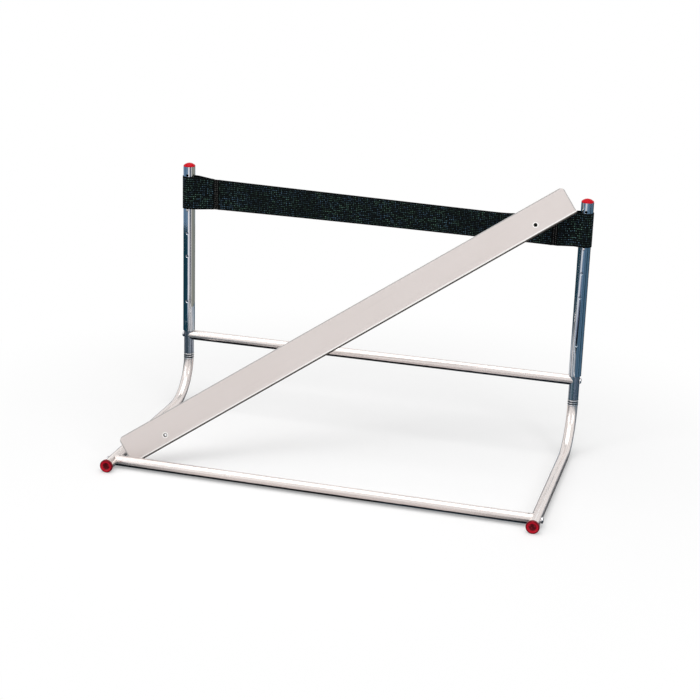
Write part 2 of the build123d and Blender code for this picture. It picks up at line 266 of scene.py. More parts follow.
@dataclass(frozen=True)
class SharedEffects:
    """The effects that more than one material uses."""

    drawn_lines: Tree
    scuffs: Tree
    dust: Tree
    underside_shade: Tree

    @classmethod
    def build(cls) -> "SharedEffects":
        """Builds each group once."""
        return cls(
            cls.make_drawn_lines(), cls.make_scuffs(), cls.make_dust(), cls.make_underside_shade()
        )

    @staticmethod
    def make_drawn_lines() -> Tree:
        """Long lines that a die leaves on a drawn tube, broad ones and hair-fine ones."""
        inputs = {"Place": None, "Stretch": None}
        graph, given, result = new_group("drawn_lines", inputs, ("Broad", "Fine"))
        inner = graph.stretch(given["Place"], given["Stretch"])
        broad = graph.fit(graph.noise(inner, *BROAD_LINES), 0.36, 0.64)
        graph.feed(result, {"Broad": broad, "Fine": graph.noise(inner, *FINE_LINES)})
        return graph.tree

    @staticmethod
    def make_scuffs() -> Tree:
        """Small patches where a surface has been rubbed."""
        inputs = {"Place": None, "Scale": 20.0, "Coverage": 0.3}
        graph, given, result = new_group("scuffs", inputs, ("Mask",))
        texture = graph.noise(given["Place"], given["Scale"], detail=6.0, roughness=0.7)
        over = graph.math("SUBTRACT", texture, graph.math("SUBTRACT", 0.75, given["Coverage"]))
        graph.feed(result, {"Mask": graph.fit(over, 0.0, 0.12)})
        return graph.tree

    @staticmethod
    def make_dust() -> Tree:
        """Fine dust that lies on what faces up, thicker in patches."""
        inputs = {"Place": None, "Scale": 9.0}
        graph, given, result = new_group("dust", inputs, ("Mask",))
        patches = graph.fit(graph.noise(given["Place"], given["Scale"], 5.0), 0.35, 0.7)
        lying = graph.fit(graph.upward(), 0.3, 0.95)
        graph.feed(result, {"Mask": graph.math("MULTIPLY", lying, patches)})
        return graph.tree

    @staticmethod
    def make_underside_shade() -> Tree:
        """Painted shade on what faces the ground, ragged along its edge."""
        inputs = {"Place": None, "Start": 0.6, "Full": 0.85}
        graph, given, result = new_group("underside_shade", inputs, ("Mask",))
        # Painted shade: the mask is full on faces that point down, where light does not fall.
        ragged = graph.math("MULTIPLY_ADD", graph.noise(given["Place"], 30.0), 0.16, -0.08)
        down = graph.math("SUBTRACT", ragged, graph.upward())
        graph.feed(result, {"Mask": graph.fit(down, given["Start"], given["Full"])})
        return graph.tree


EFFECTS = SharedEffects.build()


def blank_material(name: str) -> tuple[Material, Graph]:
    """A new material and its empty graph."""
    material = bpy.data.materials.new(name)
    material.use_nodes = True
    return material, Graph(material.node_tree)


def start_material(name: str) -> tuple[Material, Graph, bpy.types.Node]:
    """A new material with a Principled shader on its output.

    Args:
        name: The material's name.

    Returns:
        The material, its graph and the shader node.
    """
    material, graph = blank_material(name)
    shader = graph.add("ShaderNodeBsdfPrincipled")
    graph.add("ShaderNodeOutputMaterial", {"Surface": shader.outputs[0]})
    return material, graph, shader


# ---- Finishes -------------------------------------------------------------


class Finish:
    """A surface's looks. Each kind says what its shader is fed."""

    def material(self) -> Material:
        """The finish as a material."""
        material, graph, shader = start_material(self.name)
        graph.feed(shader, self.look(graph, graph.place()))
        return material

    def worn(self, graph: Graph, place) -> Socket:
        """The mask of the finish's scuffs."""
        sizes = {"Scale": self.scuff_scale, "Coverage": self.scuff_coverage}
        return graph.mask(EFFECTS.scuffs, Place=place, **sizes)

    def dusty(self, graph: Graph, place) -> Socket:
        """The mask of the finish's dust."""
        return graph.mask(EFFECTS.dust, Place=place, Scale=self.dust_scale)


@dataclass(frozen=True)
class TubeFinish(Finish):
    """Bright drawn tube, with lines along it, small scuffs and painted shade on its underside."""

    name: str
    run: Run
    light: Colour
    dark: Colour
    streak: Colour
    grime_and_shade: Colour = (0.045, 0.050, 0.058)
    metallic: float = 1.0
    gloss_low: float = 0.14
    gloss_high: float = 0.30
    streak_cut: Span = (0.60, 0.74)
    line_depth: float = 0.04 * MM
    scuff_scale: float = 26.0
    scuff_coverage: float = 0.16
    scuff_dulling: float = 0.14
    dust_scale: float = 9.0
    dust_dulling: float = 0.06
    shade_start: float = 0.62
    shade_full: float = 0.80

    def look(self, graph: Graph, place) -> dict:
        """What the shader is fed."""
        lines = graph.group(EFFECTS.drawn_lines, Place=place, Stretch=self.run.value)
        fine = lines["Fine"]
        metal = self.metal(graph, place, lines["Broad"], fine)
        layers = (
            (self.worn(graph, place), self.scuff_dulling),
            (self.dusty(graph, place), self.dust_dulling),
        )
        # Painted shade: the base colour turns dark on faces that point down.
        shade_below = graph.mask(
            EFFECTS.underside_shade, Place=place, Start=self.shade_start, Full=self.shade_full
        )
        rough = graph.fit(fine, *NOISE_RANGE, self.gloss_low, self.gloss_high)
        return {
            "Base Color": graph.mix(shade_below, metal, self.grime_and_shade),
            "Metallic": self.metallic,
            "Roughness": graph.raised(rough, *layers),
            "Normal": graph.bump(fine, self.line_depth),
        }

    def metal(self, graph: Graph, place, broad, fine) -> Socket:
        """The metal's colour, lighter and darker in long lines.

        Args:
            graph: The material's graph.
            place: The output that gives the place on the tube.
            broad: Mask of the broad lines.
            fine: Value of the fine lines.

        Returns:
            The output that holds the colour.
        """
        tone = graph.mix(broad, self.dark, self.light)
        return graph.mix(graph.fit(fine, *self.streak_cut), tone, self.streak)


@dataclass(frozen=True)
class LegFinish(TubeFinish):
    """Tube of a leg: bright below, and above the bend a painted blue-grey reflection that also
    stands for the shade inside the upright.
    """

    upper_reflection_light: Colour = (0.50, 0.52, 0.60)
    upper_reflection_dark: Colour = (0.085, 0.160, 0.215)
    upper_reflection_streaks: Span = (0.40, 0.66)
    upper_reflection_edge: Span = (157.5 * MM, 159.0 * MM)
    groove_shade: Colour = (0.018, 0.030, 0.042)
    crest_highlight: Colour = (0.93, 0.93, 0.95)
    crest_edge: Span = (1.3 * MM, 2.2 * MM)
    first_crest: float = 155.0 * MM
    crest_pitch: float = 7.0 * MM
    crest_count: int = 3
    run_out: float = 0.4

    def metal(self, graph: Graph, place, broad, fine) -> Socket:
        """The metal's colour, with a painted reflection above the bend and a painted highlight and
        shade on the ripples at its start.
        """
        bright = super().metal(graph, place, broad, fine)
        # Painted reflection and shade: the upright part of the leg is coloured blue-grey, as the
        # metal mirrors the ground there.
        stretched = graph.stretch(place, Run.ALONG_Z.value)
        streaks = graph.fit(graph.noise(stretched, *BROAD_LINES), *self.upper_reflection_streaks)
        reflected_upper = graph.mix(streaks, self.upper_reflection_dark, self.upper_reflection_light)
        height = graph.axes(place)["Z"]
        tone = graph.mix(graph.fit(height, *self.upper_reflection_edge), bright, reflected_upper)
        # Painted highlight on each ripple crest and painted shade in the grooves between them.
        below = graph.math("SUBTRACT", self.first_crest, height)
        from_crest = graph.math("PINGPONG", below, self.crest_pitch / 2)
        rippled = graph.mix(
            graph.fit(from_crest, *self.crest_edge), self.crest_highlight, self.groove_shade
        )
        last = (self.crest_count - 1 + self.run_out) * self.crest_pitch
        middle = (last - self.crest_pitch / 2) / 2
        inside = graph.math("LESS_THAN", graph.apart(below, middle), last - middle)
        return graph.mix(inside, tone, rippled)


@dataclass(frozen=True)
class PlasticFinish(Finish):
    """Moulded plastic with a faint grain and handling marks."""

    name: str
    colour: Colour
    worn_colour: Colour
    roughness: float
    specular: float = 0.5
    grain_scale: float = 900.0
    grain_depth: float = 0.03 * MM
    scuff_scale: float = 90.0
    scuff_coverage: float = 0.22
    scuff_share: float = 0.45
    scuff_dulling: float = 0.22
    dust_scale: float = 60.0
    dust_dulling: float = 0.08

    def look(self, graph: Graph, place) -> dict:
        """What the shader is fed."""
        worn = self.worn(graph, place)
        layers = ((worn, self.scuff_dulling), (self.dusty(graph, place), self.dust_dulling))
        moulded = self.moulded(graph, place)
        return {
            "Base Color": graph.tint(moulded, self.worn_colour, worn, self.scuff_share),
            "Roughness": graph.raised(self.roughness, *layers),
            "Specular IOR Level": self.specular,
            "Normal": graph.bump(graph.noise(place, self.grain_scale), self.grain_depth),
        }

    def moulded(self, graph: Graph, place) -> Colour | Socket:
        """The colour that the plastic was moulded in."""
        return self.colour


@dataclass(frozen=True)
class FootCapFinish(PlasticFinish):
    """Plastic of a foot cap: painted shade in the middle of its end and round its rim."""

    hollow_shade: Colour = (0.085, 0.002, 0.006)
    painted_rim: Colour = (0.15, 0.002, 0.008)
    centre_x: float = 635.0 * MM
    centre_z: float = 19.5 * MM
    hollow_edge: Span = (12.0 * MM, 16.0 * MM)
    rim_edge: Span = (15.5 * MM, 17.0 * MM)
    ragged_scale: float = 260.0
    ragged_reach: float = 7.0 * MM

    def moulded(self, graph: Graph, place) -> Socket:
        """The plastic's colour, by the distance from the cap's axis."""
        axes = graph.axes(place)
        across = graph.math("SUBTRACT", graph.math("ABSOLUTE", axes["X"]), self.centre_x)
        away = graph.hypot(across, graph.math("SUBTRACT", axes["Z"], self.centre_z))
        noise = graph.noise(place, self.ragged_scale)
        ragged = graph.math("MULTIPLY_ADD", noise, self.ragged_reach, away)
        # Painted shade: darker in the dish of the cap's end and round its rim.
        face = graph.mix(graph.fit(ragged, *self.hollow_edge), self.hollow_shade, self.colour)
        return graph.mix(graph.fit(away, *self.rim_edge), face, self.painted_rim)


@dataclass(frozen=True)
class BareSteelFinish(Finish):
    """Plated or spring steel of a small fastener, with turning marks."""

    name: str
    light: Colour
    dark: Colour
    roughness: float
    scuff_scale: float = 240.0
    scuff_coverage: float = 0.3
    scuff_dulling: float = 0.25
    grain_scale: float = 700.0
    grain_depth: float = 0.02 * MM

    def look(self, graph: Graph, place) -> dict:
        """What the shader is fed."""
        worn = self.worn(graph, place)
        return {
            "Base Color": graph.mix(worn, self.light, self.dark),
            "Metallic": 1.0,
            "Roughness": graph.raised(self.roughness, (worn, self.scuff_dulling)),
            "Normal": graph.bump(graph.noise(place, self.grain_scale), self.grain_depth),
        }


@dataclass(frozen=True)
class BoardPaint(Finish):
    """Satin paint on a planed board, with faint grain, painted shade and highlight along its
    edges, and painted shade and highlight at its holes.
    """

    name: str = "board_paint"
    paint: Colour = (0.680, 0.622, 0.602)
    warm_paint: Colour = (0.650, 0.590, 0.566)
    grime_and_shade: Colour = (0.40, 0.36, 0.34)
    painted_highlight: Colour = (0.93, 0.91, 0.89)
    edge_shade: Colour = (0.42, 0.405, 0.395)
    underside_shade: Colour = (0.050, 0.042, 0.036)
    hole_shade: Colour = (0.030, 0.024, 0.020)
    roughness: float = 0.46
    specular: float = 0.3
    grain_stretch: tuple[float, float, float] = (2.0, 50.0, 50.0)
    grain_noise: Span = (2.2, 6.0)
    grain_cut: Span = (0.55, 0.8)
    grain_share: float = 0.07
    grain_depth: float = 0.2 * MM
    grain_strength: float = 0.4
    mottle_noise: Span = (5.0, 4.0)
    mottle_share: float = 0.5
    mottle_dulling: float = 0.1
    scuff_scale: float = 34.0
    scuff_coverage: float = 0.10
    scuff_share: float = 0.10
    dust_scale: float = 12.0
    dust_dulling: float = 0.12
    hole_radius: float = 6.0 * MM
    hole_rim: float = 9.5 * MM
    hole_height: float = 30.0 * MM
    width: float = 90.0 * MM
    end_margin: float = 127.0 * MM
    edge_shade_line: float = 4.0 * MM
    shade_line: float = 5.5 * MM
    highlight_line: float = 11.0 * MM

    def material(self, lying: Matrix, hole_spacing: float) -> Material:
        """The finish as a material.

        Args:
            lying: Where the board lies: its local X runs along it and its local Z across
                its width, from the middle of its left hole.
            hole_spacing: Distance between its two holes.

        Returns:
            The material, with its pattern in the board's own directions.
        """
        material, graph, shader = start_material(self.name)
        turned = graph.add(
            "ShaderNodeMapping",
            {
                "Vector": graph.place(),
                "Location": lying.translation,
                "Rotation": lying.to_euler(),
            },
            vector_type="TEXTURE",
        ).outputs[0]
        grain = graph.noise(graph.stretch(turned, self.grain_stretch), *self.grain_noise)
        mottle = graph.fit(graph.noise(turned, *self.mottle_noise), *NOISE_RANGE)
        worn, dusty = self.worn(graph, turned), self.dusty(graph, turned)
        base = graph.tint(self.paint, self.warm_paint, mottle, self.mottle_share)
        grained = graph.fit(grain, *self.grain_cut)
        base = graph.tint(base, self.grime_and_shade, grained, self.grain_share)
        base = graph.tint(base, self.grime_and_shade, worn, self.scuff_share)
        base = self.edges(graph, turned, hole_spacing, base)
        rough = graph.fit(mottle, 0.0, 1.0, 0.0, self.mottle_dulling)
        look = {
            "Base Color": self.holes(graph, turned, hole_spacing, base),
            "Roughness": graph.raised(
                graph.math("ADD", rough, self.roughness), (dusty, self.dust_dulling)
            ),
            "Specular IOR Level": self.specular,
            "Normal": graph.bump(grain, self.grain_depth, self.grain_strength),
        }
        graph.feed(shader, look)
        return material

    def edges(self, graph: Graph, turned, spacing: float, base) -> Socket:
        """Paints shade on the top edge and the ends, a highlight line above the lower edge and
        shade along the lower edge.

        Args:
            graph: The material's graph.
            turned: The output that gives the place in the board's own directions.
            spacing: Distance between the two holes.
            base: The paint's colour so far.

        Returns:
            The output that holds the new colour.
        """
        axes = graph.axes(turned)
        from_low = graph.math("ADD", axes["Z"], self.hole_height)
        from_high = graph.math("SUBTRACT", self.width - self.hole_height, axes["Z"])
        from_middle = graph.apart(axes["X"], spacing / 2)
        from_end = graph.math("SUBTRACT", spacing / 2 + self.end_margin, from_middle)
        # Painted shade on the top edge and ends, a painted highlight line above the lower edge,
        # and painted shade along the lower edge.
        lines = (
            (graph.math("MINIMUM", from_high, from_end), self.edge_shade_line / 2, self.edge_shade_line),
            (from_low, self.shade_line, self.highlight_line),
            (from_low, 0.7 * self.shade_line, self.shade_line),
        )
        for (away, near, far), colour in zip(
            lines, (self.edge_shade, self.painted_highlight, self.underside_shade)
        ):
            base = graph.mix(graph.fit(away, near, far, 1.0, 0.0), base, colour)
        return base

    def holes(self, graph: Graph, turned, spacing: float, base) -> Socket:
        """Paints shade over the two holes, and a highlight round each."""
        axes = graph.axes(turned)
        left = graph.math("ABSOLUTE", axes["X"])
        near = graph.math("MINIMUM", left, graph.apart(axes["X"], spacing))
        away = graph.hypot(near, axes["Z"])
        # Painted highlight round each hole, and painted shade over it, wider than the hole itself.
        painted_rim = graph.fit(away, 0.85 * self.hole_rim, self.hole_rim, 1.0, 0.0)
        base = graph.mix(painted_rim, base, self.painted_highlight)
        return graph.mix(graph.math("LESS_THAN", away, self.hole_radius), base, self.hole_shade)


@dataclass(frozen=True)
class WebbingFinish(Finish):
    """Dark woven elastic: ribs along it crossed by picks, with firm selvedges."""

    name: str = "elastic_webbing"
    gap: Colour = (0.0006, 0.0010, 0.0012)
    yarn: Colour = (0.0035, 0.0060, 0.0065)
    green: Colour = (0.105, 0.215, 0.160)
    blue: Colour = (0.085, 0.165, 0.245)
    specular: float = 0.06
    rib_pitch: float = 7.0 * MM
    rib_cut: Span = (0.2, 0.8)
    pick_pitch: float = 5.6 * MM
    lattice_cut: Span = (0.30, 0.85)
    fuzz_noise: Span = (900.0, 4.0)
    fuzz_relief: float = 0.3
    relief_depth: float = 0.7 * MM
    dullness: Span = (0.62, 0.85)
    spot_scale: float = 130.0
    spot_cut: Span = (0.44, 0.60)
    patch_scale: float = 12.0
    patch_cut: Span = (0.36, 0.64)
    patch_least: float = 0.35
    hue_noise: Span = (40.0, 2.0)
    hue_cut: Span = (0.42, 0.58)
    selvedge: float = 6.0 * MM
    width: float = 104.5 * MM
    seam_x: float = 543.0 * MM
    seam_shade_reach: float = 12.0 * MM

    def look(self, graph: Graph, place) -> dict:
        """What the shader is fed, from the band's own UV map, in metres."""
        uv = graph.add("ShaderNodeUVMap", uv_map="Cloth").outputs[0]
        axes = graph.axes(uv)
        ribs = self.wave(graph, axes["Y"], self.rib_pitch)
        lattice = graph.math("MULTIPLY", ribs, self.wave(graph, axes["X"], self.pick_pitch))
        fuzz = graph.noise(uv, *self.fuzz_noise)
        from_edge = graph.math("PINGPONG", axes["Y"], self.width / 2)
        along = graph.math("ABSOLUTE", graph.axes(place)["X"])
        from_seam = graph.apart(along, self.seam_x)
        # Painted shade: near each seam the flecks and ribs fade to the dark gap colour.
        clear = graph.fit(from_seam, 0.7 * self.seam_shade_reach, self.seam_shade_reach)
        inside = graph.fit(from_edge, 0.6 * self.selvedge, self.selvedge)
        spots = graph.fit(graph.noise(uv, self.spot_scale), *self.spot_cut)
        patches = graph.noise(uv, self.patch_scale)
        patches = graph.fit(patches, *self.patch_cut, self.patch_least, 1.0)
        fleck = graph.fit(lattice, *self.lattice_cut)
        for share in (inside, spots, patches, clear):
            fleck = graph.math("MULTIPLY", fleck, share)
        shown_ribs = graph.fit(graph.math("MULTIPLY", ribs, clear), *self.rib_cut)
        ground = graph.mix(shown_ribs, self.gap, self.yarn)
        hue = graph.fit(graph.noise(uv, *self.hue_noise), *self.hue_cut)
        relief = graph.raised(lattice, (fuzz, self.fuzz_relief))
        return {
            "Base Color": graph.mix(fleck, ground, graph.mix(hue, self.green, self.blue)),
            "Roughness": graph.fit(fuzz, 0.2, 0.8, *self.dullness),
            "Specular IOR Level": self.specular,
            "Normal": graph.bump(relief, self.relief_depth),
        }

    @staticmethod
    def wave(graph: Graph, along, pitch: float) -> Socket:
        """A row of rounded ridges, from 0 between them to 1 on top, one for each pitch."""
        turns = graph.math("MULTIPLY", along, 2 * math.pi / pitch)
        return graph.math("MULTIPLY_ADD", graph.math("COSINE", turns), 0.5, 0.5)


@dataclass(frozen=True)
class ThreadFinish(Finish):
    """Twisted sewing thread."""

    name: str = "seam_thread"
    colour: Colour = (0.06, 0.060, 0.058)
    light: Colour = (0.15, 0.148, 0.14)
    specular: float = 0.3
    dullness: Span = (0.5, 0.7)
    twist_noise: Span = (2600.0, 2.0)
    twist_cut: Span = (0.4, 0.6)
    twist_depth: float = 0.1 * MM

    def look(self, graph: Graph, place) -> dict:
        """What the shader is fed."""
        twist = graph.noise(place, *self.twist_noise)
        shown = graph.fit(twist, *self.twist_cut)
        return {
            "Base Color": graph.mix(shown, self.colour, self.light),
            "Roughness": graph.fit(twist, *NOISE_RANGE, *self.dullness),
            "Specular IOR Level": self.specular,
            "Normal": graph.bump(twist, self.twist_depth),
        }


# ---- Meshes ---------------------------------------------------------------


def mesh_piece(name: str, points: list, faces: list, smooth: bool = True) -> bpy.types.Object:
    """A new object at the origin with its place in its mesh.

    Args:
        name: The piece's name.
        points: Vertex places in metres.
        faces: Vertex indices of each face.
        smooth: Whether its faces are shaded smooth.

    Returns:
        The object, linked to the scene.
    """
    mesh = bpy.data.meshes.new(name)
    mesh.from_pydata(points, [], faces)
    mesh.validate()
    mesh.polygons.foreach_set("use_smooth", [smooth] * len(mesh.polygons))
    piece = bpy.data.objects.new(name, mesh)
    bpy.context.scene.collection.objects.link(piece)
    return piece


def finish_node(node: str, material: Material) -> None:
    """Gives a CAD node its material."""
    piece = frame["nodes"][node]
    piece.data.materials.clear()
    piece.data.materials.append(material)
    log.info("%s: %s", node, material.name)


def mount_vector(name: str, key: str = "pos_m") -> Vector:
    """A mount's point, or its axis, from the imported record.

    Args:
        name: The mount's name.
        key: The record's key: pos_m or axis.

    Returns:
        The vector.
    """
    return Vector(next(m[key] for m in frame["record"]["mounts"] if m["name"] == name))


# ---- Sub-assemblies -------------------------------------------------------


BASE_DARK: Colour = (0.70, 0.64, 0.62)
BASE_STREAK: Colour = (0.90, 0.87, 0.85)
BASE_GLOSS_AND_SHADE = {
    "metallic": 0.8,
    "gloss_low": 0.16,
    "gloss_high": 0.28,
    # The near-black colour and its mask paint shade on the undersides of the legs and crossbars.
    "grime_and_shade": (0.014, 0.018, 0.022),
    "shade_start": 0.20,
    "shade_full": 0.38,
}


@dataclass
class BaseFrame:
    """The two bent legs, the crossbars between them and the red foot caps."""

    leg: LegFinish = LegFinish(
        "leg_tube_metal",
        Run.IN_SIDE_PLANE,
        (0.80, 0.74, 0.71),
        BASE_DARK,
        BASE_STREAK,
        **BASE_GLOSS_AND_SHADE,
    )
    bar: TubeFinish = TubeFinish(
        "crossbar_metal",
        Run.ALONG_X,
        (0.80, 0.735, 0.705),
        BASE_DARK,
        BASE_STREAK,
        **BASE_GLOSS_AND_SHADE,
    )
    cap: PlasticFinish = PlasticFinish(
        "red_cap_plastic", (0.50, 0.003, 0.012), (0.52, 0.02, 0.03), 0.30, specular=0.06
    )
    foot_cap: FootCapFinish = FootCapFinish(
        "red_foot_cap_plastic", (0.47, 0.004, 0.018), (0.50, 0.03, 0.04), 0.32, specular=0.12
    )
    insert: PlasticFinish = PlasticFinish(
        "insert_plastic", (0.09, 0.09, 0.10), (0.16, 0.16, 0.17), 0.55
    )

    def dress(self) -> None:
        """Gives each of the frame's CAD nodes its finish."""
        leg, bar = self.leg.material(), self.bar.material()
        cap, foot_cap = self.cap.material(), self.foot_cap.material()
        insert = self.insert.material()
        for side in Side:
            finish_node(f"{side.word}_leg_tube", leg)
            finish_node(f"{side.word}_foot_cap", foot_cap)
            finish_node(f"{side.word}_top_cap", cap)
            for end in ("front", "rear"):
                finish_node(f"{end}_{side.word}_insert", insert)
        for end in ("front", "rear"):
            finish_node(f"{end}_crossbar", bar)


@dataclass
class Uprights:
    """The two sliding outer tubes, with their snap buttons and springs."""

    tube: TubeFinish = TubeFinish(
        "upright_metal",
        Run.ALONG_Z,
        (0.78, 0.81, 0.84),
        (0.48, 0.57, 0.65),
        (0.92, 0.92, 0.95),
        gloss_low=0.03,
        gloss_high=0.10,
    )
    plated: BareSteelFinish = BareSteelFinish(
        "plated_steel", (0.78, 0.78, 0.80), (0.52, 0.52, 0.54), 0.14
    )
    spring: BareSteelFinish = BareSteelFinish(
        "spring_steel", (0.34, 0.35, 0.38), (0.20, 0.20, 0.22), 0.3
    )
    spring_end_y: float = 348.5 * MM
    press_depth: float = 6.5 * MM
    weld_distance: float = 0.001 * MM

    def build_spring(self, side: Side, material: Material) -> None:
        """Makes a welded copy of a spring and fixes it to the frame in place of its CAD node.

        Args:
            side: The upright that the spring's button locks.
            material: The spring's finish.
        """
        node = f"{side.word}_button_spring"
        mesh = frame["nodes"][node].data.copy()
        merged = bmesh.new()
        merged.from_mesh(mesh)
        bmesh.ops.remove_doubles(merged, verts=merged.verts, dist=self.weld_distance)
        merged.to_mesh(mesh)
        merged.free()
        mesh.materials.clear()
        mesh.materials.append(material)
        strip = bpy.data.objects.new(f"{side.word}_spring_strip", mesh)
        bpy.context.scene.collection.objects.link(strip)
        low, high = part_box(node)
        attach(strip, "frame")
        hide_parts(node)
        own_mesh(strip)

    def dress(self) -> None:
        """Gives the tubes, buttons and bolts their finishes, and builds the springs."""
        tube, plated = self.tube.material(), self.plated.material()
        spring = self.spring.material()
        for side in Side:
            finish_node(f"{side.word}_upright_tube", tube)
            finish_node(f"{side.word}_snap_button", plated)
            self.build_spring(side, spring)
            for end in ("front", "rear"):
                finish_node(f"{end}_{side.word}_bolt", plated)


@dataclass
class HurdleBoard:
    """The loose painted board that leans across the hurdle."""

    paint: BoardPaint = BoardPaint()

    def dress(self) -> None:
        """Paints the board, with the paint's grain along it."""
        start = mount_vector("board_left_hole")
        to_right = mount_vector("board_right_hole") - start
        along = to_right.normalized()
        back = -mount_vector("board_left_hole", "axis")
        across = along.cross(back)
        lying = Matrix((along, back, across)).transposed().to_4x4()
        lying.translation = start
        finish_node("board", self.paint.material(lying, to_right.length))


@dataclass
class ElasticBand:
    """A loop of wide webbing round both uprights, sewn through beside each one."""

    thickness: float = 2.0 * MM
    loop_gap: float = 0.3 * MM
    layer_gap: float = 0.4 * MM
    upright_radius: float = 19.05 * MM
    height: float = 104.5 * MM
    seam_setback: float = 86.0 * MM
    sleeve_flat: float = 30.0 * MM
    left_drop: float = 4.4 * MM
    left_rise: float = 2.7 * MM
    middle_rise: float = 0.8 * MM
    waist_x: float = 390.0 * MM
    waist_drop: float = 25.5 * MM
    waist_blend: float = 1.1 * MM
    right_drop: float = 13.5 * MM
    right_sag: float = 6.4 * MM
    column_step: float = 3.0 * MM
    bend_steps: int = 36
    row_count: int = 28
    stitch_rows: tuple[float, ...] = (2.0 * MM, 9.0 * MM)
    furrow_depth: float = 1.1 * MM
    furrow_width: float = 2.6 * MM
    fold_rows: tuple[float, ...] = (-6.5 * MM, 17.0 * MM)
    fold_rise: float = 1.4 * MM
    fold_width: float = 4.0 * MM
    wave_height: float = 0.35 * MM
    wave_reach: float = 45.0 * MM
    waves_across: float = 43.0
    waves_along: float = 5.0
    flat_size: tuple[float, float] = (104.5 * MM, 2.32)
    finish: WebbingFinish = WebbingFinish()
    axis_x: float = field(init=False)
    axis_y: float = field(init=False)
    top: float = field(init=False)

    def __post_init__(self) -> None:
        """Reads where the uprights and the band stand from the frame."""
        upright = mount_vector("right_board_bore")
        self.axis_x, self.axis_y = upright.x, upright.y
        self.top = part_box("elastic_band")[1].z

    @property
    def seam_x(self) -> float:
        """Distance of each seam from the middle of the hurdle."""
        return self.axis_x - self.seam_setback

    @property
    def half_gap(self) -> float:
        """Distance of each layer's middle from the middle of the two, past the seams."""
        return (self.thickness + self.layer_gap) / 2

    def edges(self, x: float) -> tuple[float, float]:
        """The heights of the band's lower and upper edge at a distance along it.

        Args:
            x: Place along the crossbars.

        Returns:
            The lower edge's height and the upper edge's.
        """
        bottom = self.top - self.height
        flat_x = self.axis_x - self.sleeve_flat
        if abs(x) >= flat_x:
            return bottom, self.top
        if abs(x) >= self.seam_x:
            share = (flat_x - abs(x)) / (flat_x - self.seam_x)
            drop, rise = self.right_drop, -self.right_sag
            if x < 0:
                drop, rise = self.left_drop, self.left_rise
            return bottom + rise * share, self.top - drop * share
        from_left = (x + self.seam_x) / (self.waist_x + self.seam_x)
        from_right = (self.seam_x - x) / (self.seam_x - self.waist_x)
        left_line = self.left_drop + (self.waist_drop - self.left_drop) * from_left
        right_line = self.right_drop + (self.waist_drop - self.right_drop) * from_right
        apart = (left_line - right_line) / 2
        drop = (left_line + right_line) / 2 - math.hypot(apart, self.waist_blend)
        share = x / self.seam_x
        mean = (self.left_rise - self.right_sag) / 2
        slope = -(self.right_sag + self.left_rise) / 2
        rise = self.middle_rise + slope * share + (mean - self.middle_rise) * share**2
        return bottom + rise, self.top - drop

    def plan_path(self) -> list[tuple[Vector, Vector]]:
        """The line through the middle of the cloth, seen from above.

        Returns:
            Places in plan all the way round, each with the way that the cloth's outside
            faces there.
        """
        radius = self.upright_radius + self.loop_gap + self.thickness / 2
        reach = math.hypot(self.seam_setback, self.half_gap)
        turn = math.asin(radius / reach) - math.atan2(self.half_gap, self.seam_setback)
        corners: list[tuple[Vector, Vector]] = []
        for side, start_angle in ((Side.RIGHT, -math.pi / 2), (Side.LEFT, math.pi / 2)):
            centre = Vector((side.value * self.axis_x, self.axis_y))
            first = start_angle - turn
            last = start_angle + math.pi + turn
            for step in range(self.bend_steps + 1):
                angle = first + (last - first) * step / self.bend_steps
                out = Vector((math.cos(angle), math.sin(angle)))
                corners.append((centre + out * radius, out))
            facing = Vector((0.0, side.value))
            layer_y = self.axis_y + side.value * self.half_gap
            for sign in (1, -1):
                corners.append((Vector((side.value * self.seam_x * sign, layer_y)), facing))
        return self.resample(corners)

    def resample(self, corners: list[tuple[Vector, Vector]]) -> list[tuple[Vector, Vector]]:
        """Spaces a closed path evenly, about one column step apart.

        Args:
            corners: The path's places, each with the way that the cloth faces there.

        Returns:
            The new places, each with its facing, turned gently only where the path bends.
        """
        path = [*corners, corners[0]]
        result: list[tuple[Vector, Vector]] = []
        for (start, face), (end, next_face) in zip(path, path[1:]):
            length = (end - start).length
            count = max(1, round(length / self.column_step))
            for step in range(count):
                share = step / count
                blend = share if length < 4 * self.column_step else round(share)
                result.append((start.lerp(end, share), face.lerp(next_face, blend).normalized()))
        return result

    def seam_relief(self, x: float) -> float:
        """How far the stitches draw the cloth in, and the folds beside them stand out."""
        inside = self.seam_x - abs(x)

        def bells(rows: tuple[float, ...], width: float) -> float:
            """The sum of a rounded bell over each row."""
            return sum(math.exp(-(((inside - row) / width) ** 2)) for row in rows)

        folds = bells(self.fold_rows, self.fold_width)
        furrows = bells(self.stitch_rows, self.furrow_width)
        return self.fold_rise * folds - self.furrow_depth * furrows

    def pucker(self, x: float, row: float, away: float) -> float:
        """The small waves that the stitches leave in the cloth near a seam.

        Args:
            x: Place along the crossbars.
            row: Share of the band's width, from its lower edge.
            away: Length of cloth from the start of the loop.

        Returns:
            How far the cloth stands out there.
        """
        wave = math.sin(row * self.waves_across + away * self.waves_along)
        from_seam = abs(abs(x) - self.seam_x)
        return self.wave_height * wave * math.exp(-from_seam / self.wave_reach)

    def face_at(self, x: float) -> float:
        """Distance of a layer's outer face from the middle of the two, between the seams."""
        return self.half_gap + self.thickness / 2 + self.seam_relief(x)

